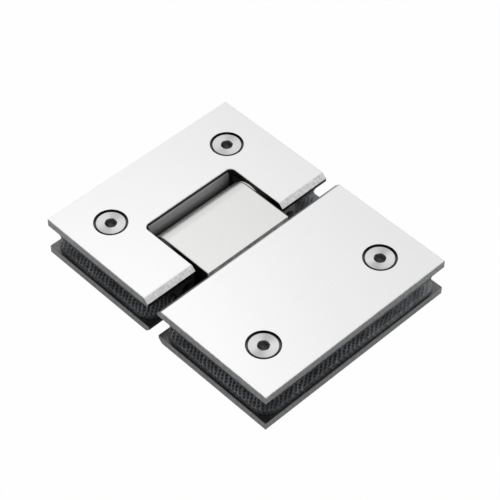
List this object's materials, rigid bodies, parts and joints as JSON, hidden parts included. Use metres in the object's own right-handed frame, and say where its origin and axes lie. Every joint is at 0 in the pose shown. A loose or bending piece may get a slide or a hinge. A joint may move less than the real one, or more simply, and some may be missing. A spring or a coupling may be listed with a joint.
{
  "type": "glass door hinge",
  "caption": "Glass-to-glass shower door hinge: two plate clamps in line, joined by a round-ended knuckle on a pin, with bushes, spring detents and gaskets.",
  "frame": {"origin": "midway between the two clamps, at the middle of the height, on the back plates' outer faces", "axes": "+X from the door clamp to the panel clamp, +Y along the pivot pin, +Z from the back plates to the front plates"},
  "size_m": [0.115, 0.09, 0.018],
  "materials": {
    "satin_steel": "satin brushed stainless steel, fine grain",
    "housing_steel": "dull machined steel",
    "screw_steel": "turned stainless steel",
    "pin_steel": "ground steel",
    "white_acetal": "moulded white acetal",
    "clear_pvc": "translucent PVC sheet, lightly embossed"
  },
  "bodies": {
    "panel_clamp": {"knuckle_block": "satin_steel", "pivot_bushes": "white_acetal", "detent_springs": "pin_steel", "detent_set_screws": "screw_steel", "panel_front_plate": "satin_steel", "panel_back_plate": "satin_steel", "panel_front_gasket": "clear_pvc", "panel_back_gasket": "clear_pvc", "panel_clamp_screws": "screw_steel", "panel_threaded_bosses": "housing_steel", "knuckle_fixing_screws": "screw_steel"},
    "door_clamp": {"door_front_plate": "satin_steel", "door_back_plate": "satin_steel", "pivot_housing": "housing_steel", "door_front_gasket": "clear_pvc", "door_back_gasket": "clear_pvc", "door_clamp_screws": "screw_steel", "door_threaded_bosses": "housing_steel", "housing_fixing_screws": "screw_steel", "pivot_pin": "pin_steel", "pin_locking_screws": "screw_steel"},
    "plungers": {"detent_plungers": "pin_steel"}
  },
  "joints": [
    {"name": "door_swing", "type": "hinge", "parent": "panel_clamp", "child": "door_clamp", "pos_m": [-0.0192, 0, 0.009], "axis": [0, 1, 0], "range_deg": [-90, 90]},
    {"name": "plunger_travel", "type": "slide", "parent": "panel_clamp", "child": "plungers", "axis": [-1, 0, 0], "range_m": [0, 0.0006]}
  ]
}
